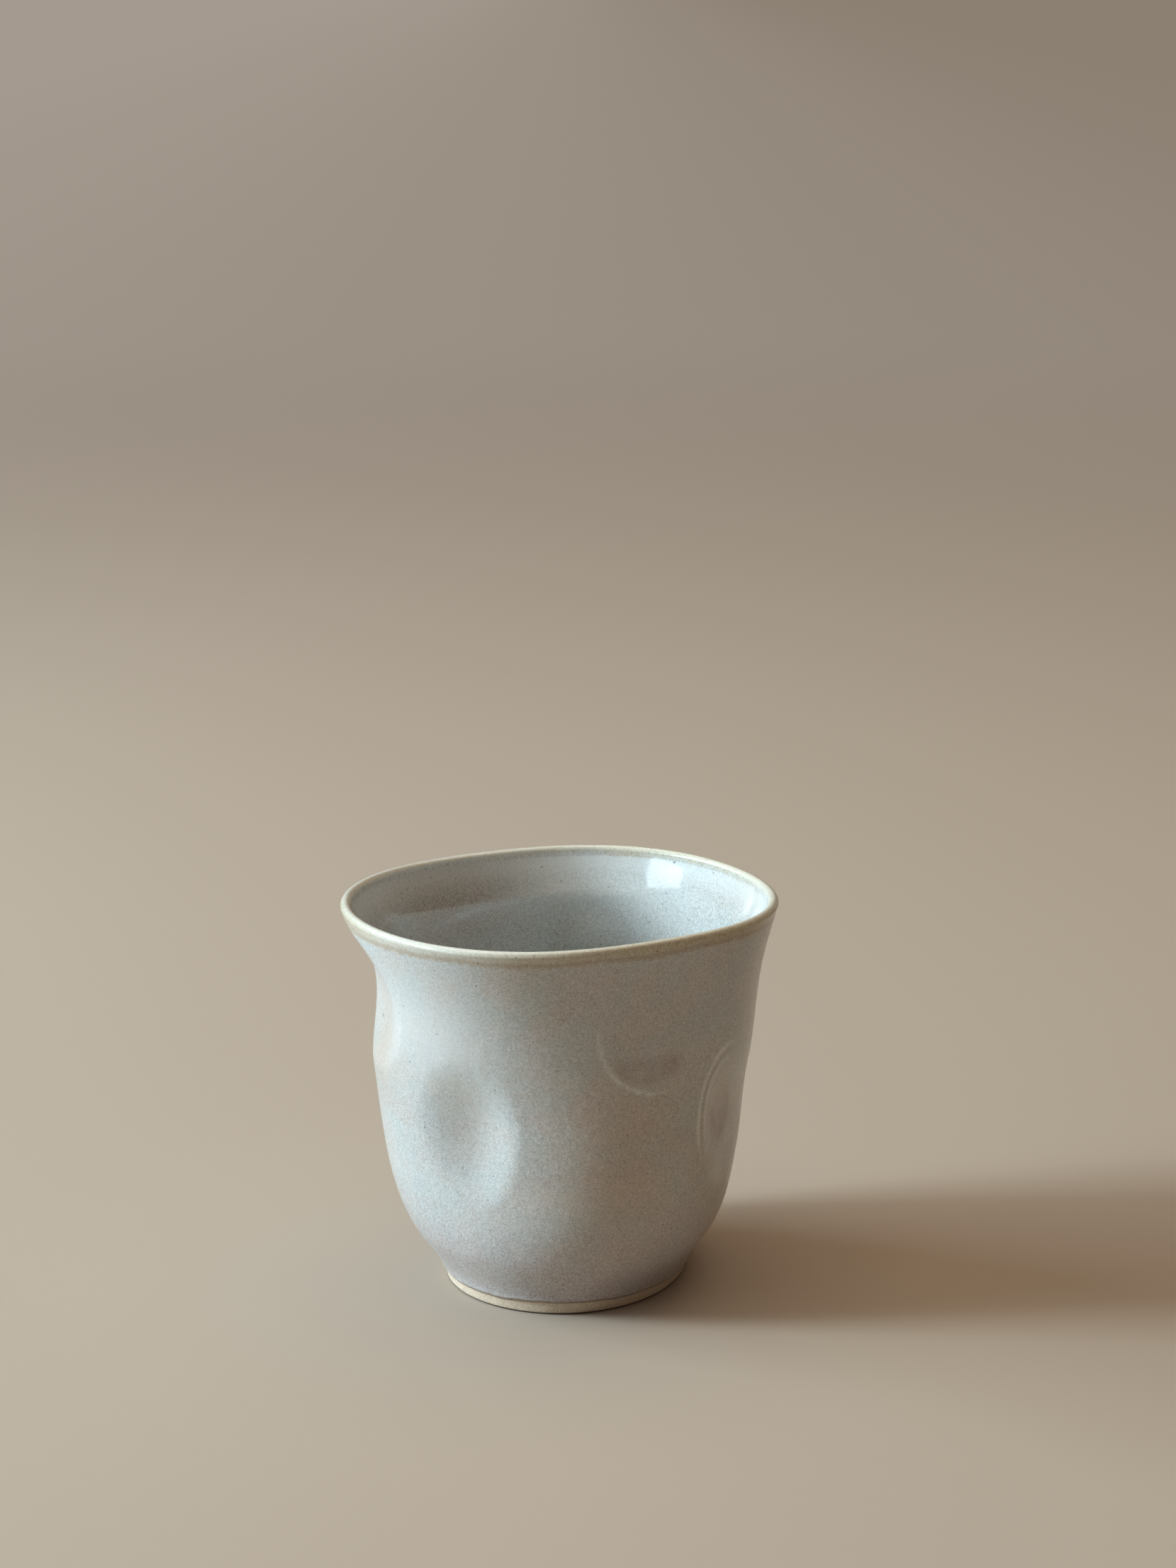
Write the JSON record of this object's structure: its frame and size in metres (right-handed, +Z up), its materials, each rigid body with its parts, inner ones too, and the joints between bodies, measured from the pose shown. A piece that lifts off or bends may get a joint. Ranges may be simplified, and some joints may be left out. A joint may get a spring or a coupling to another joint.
{
  "type": "cup",
  "caption": "Hand-made stoneware cup with no handle: narrow bare foot, soft thumb-pressed wall, flared oval lip with an ochre edge, pale satin glaze outside and a glossy one inside.",
  "frame": {"origin": "middle of the foot, on the table", "axes": "+Z up through the mouth, -Y towards the picture's viewer, +X to the viewer's right along the lip's longest width"},
  "size_m": [0.0885, 0.0832, 0.0807],
  "materials": {
    "stoneware": "matt",
    "outer_glaze": "satin",
    "liner_glaze": "gloss",
    "lip_glaze": "gloss"
  },
  "bodies": {
    "root": {"stoneware_body": "stoneware", "outer_glaze": "outer_glaze", "liner_glaze": "liner_glaze", "lip_glaze": "lip_glaze"}
  },
  "joints": []
}
